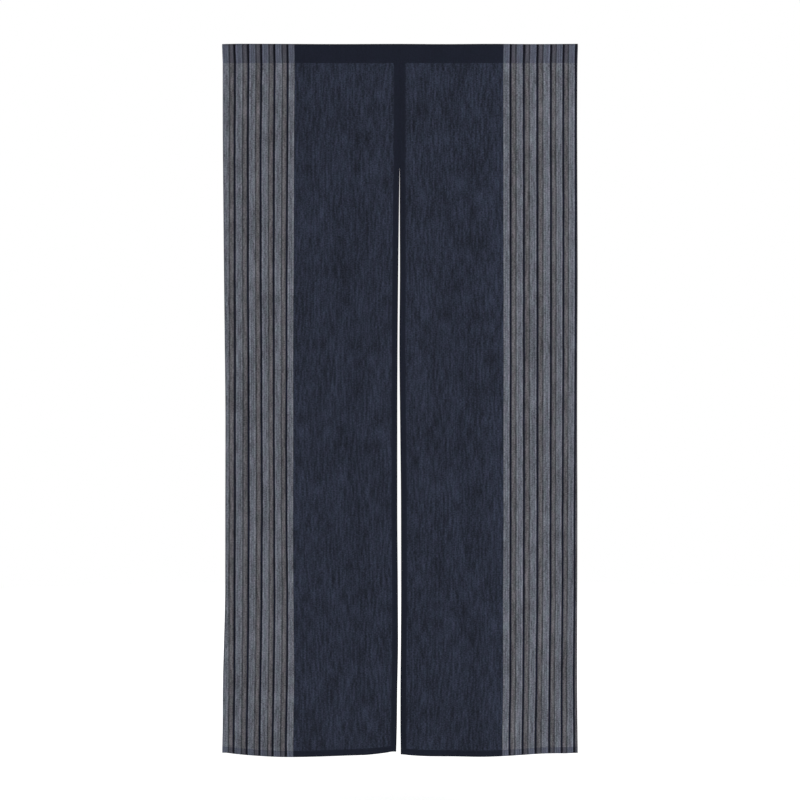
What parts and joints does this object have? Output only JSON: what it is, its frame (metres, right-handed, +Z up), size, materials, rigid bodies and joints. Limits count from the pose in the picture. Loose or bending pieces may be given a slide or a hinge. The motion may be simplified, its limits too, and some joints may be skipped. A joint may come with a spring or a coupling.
{
  "type": "noren curtain",
  "caption": "Split doorway curtain of light navy cloth with grey stripes down both sides, sewn rod pocket across the top and a long open slit.",
  "frame": {"origin": "middle of the top edge, halfway through the rod pocket", "axes": "+Z up, -Y out of the curtain's front, +X to the right as seen from the front"},
  "size_m": [0.8478, 0.0377, 1.695],
  "materials": {
    "striped_cloth": "matte, thin plain weave",
    "doubled_cloth": "matte, plain weave, two layers",
    "thread": "matte sewing thread"
  },
  "bodies": {
    "root": {"heading": "doubled_cloth", "panel_left": "striped_cloth", "panel_right": "striped_cloth"}
  },
  "joints": []
}
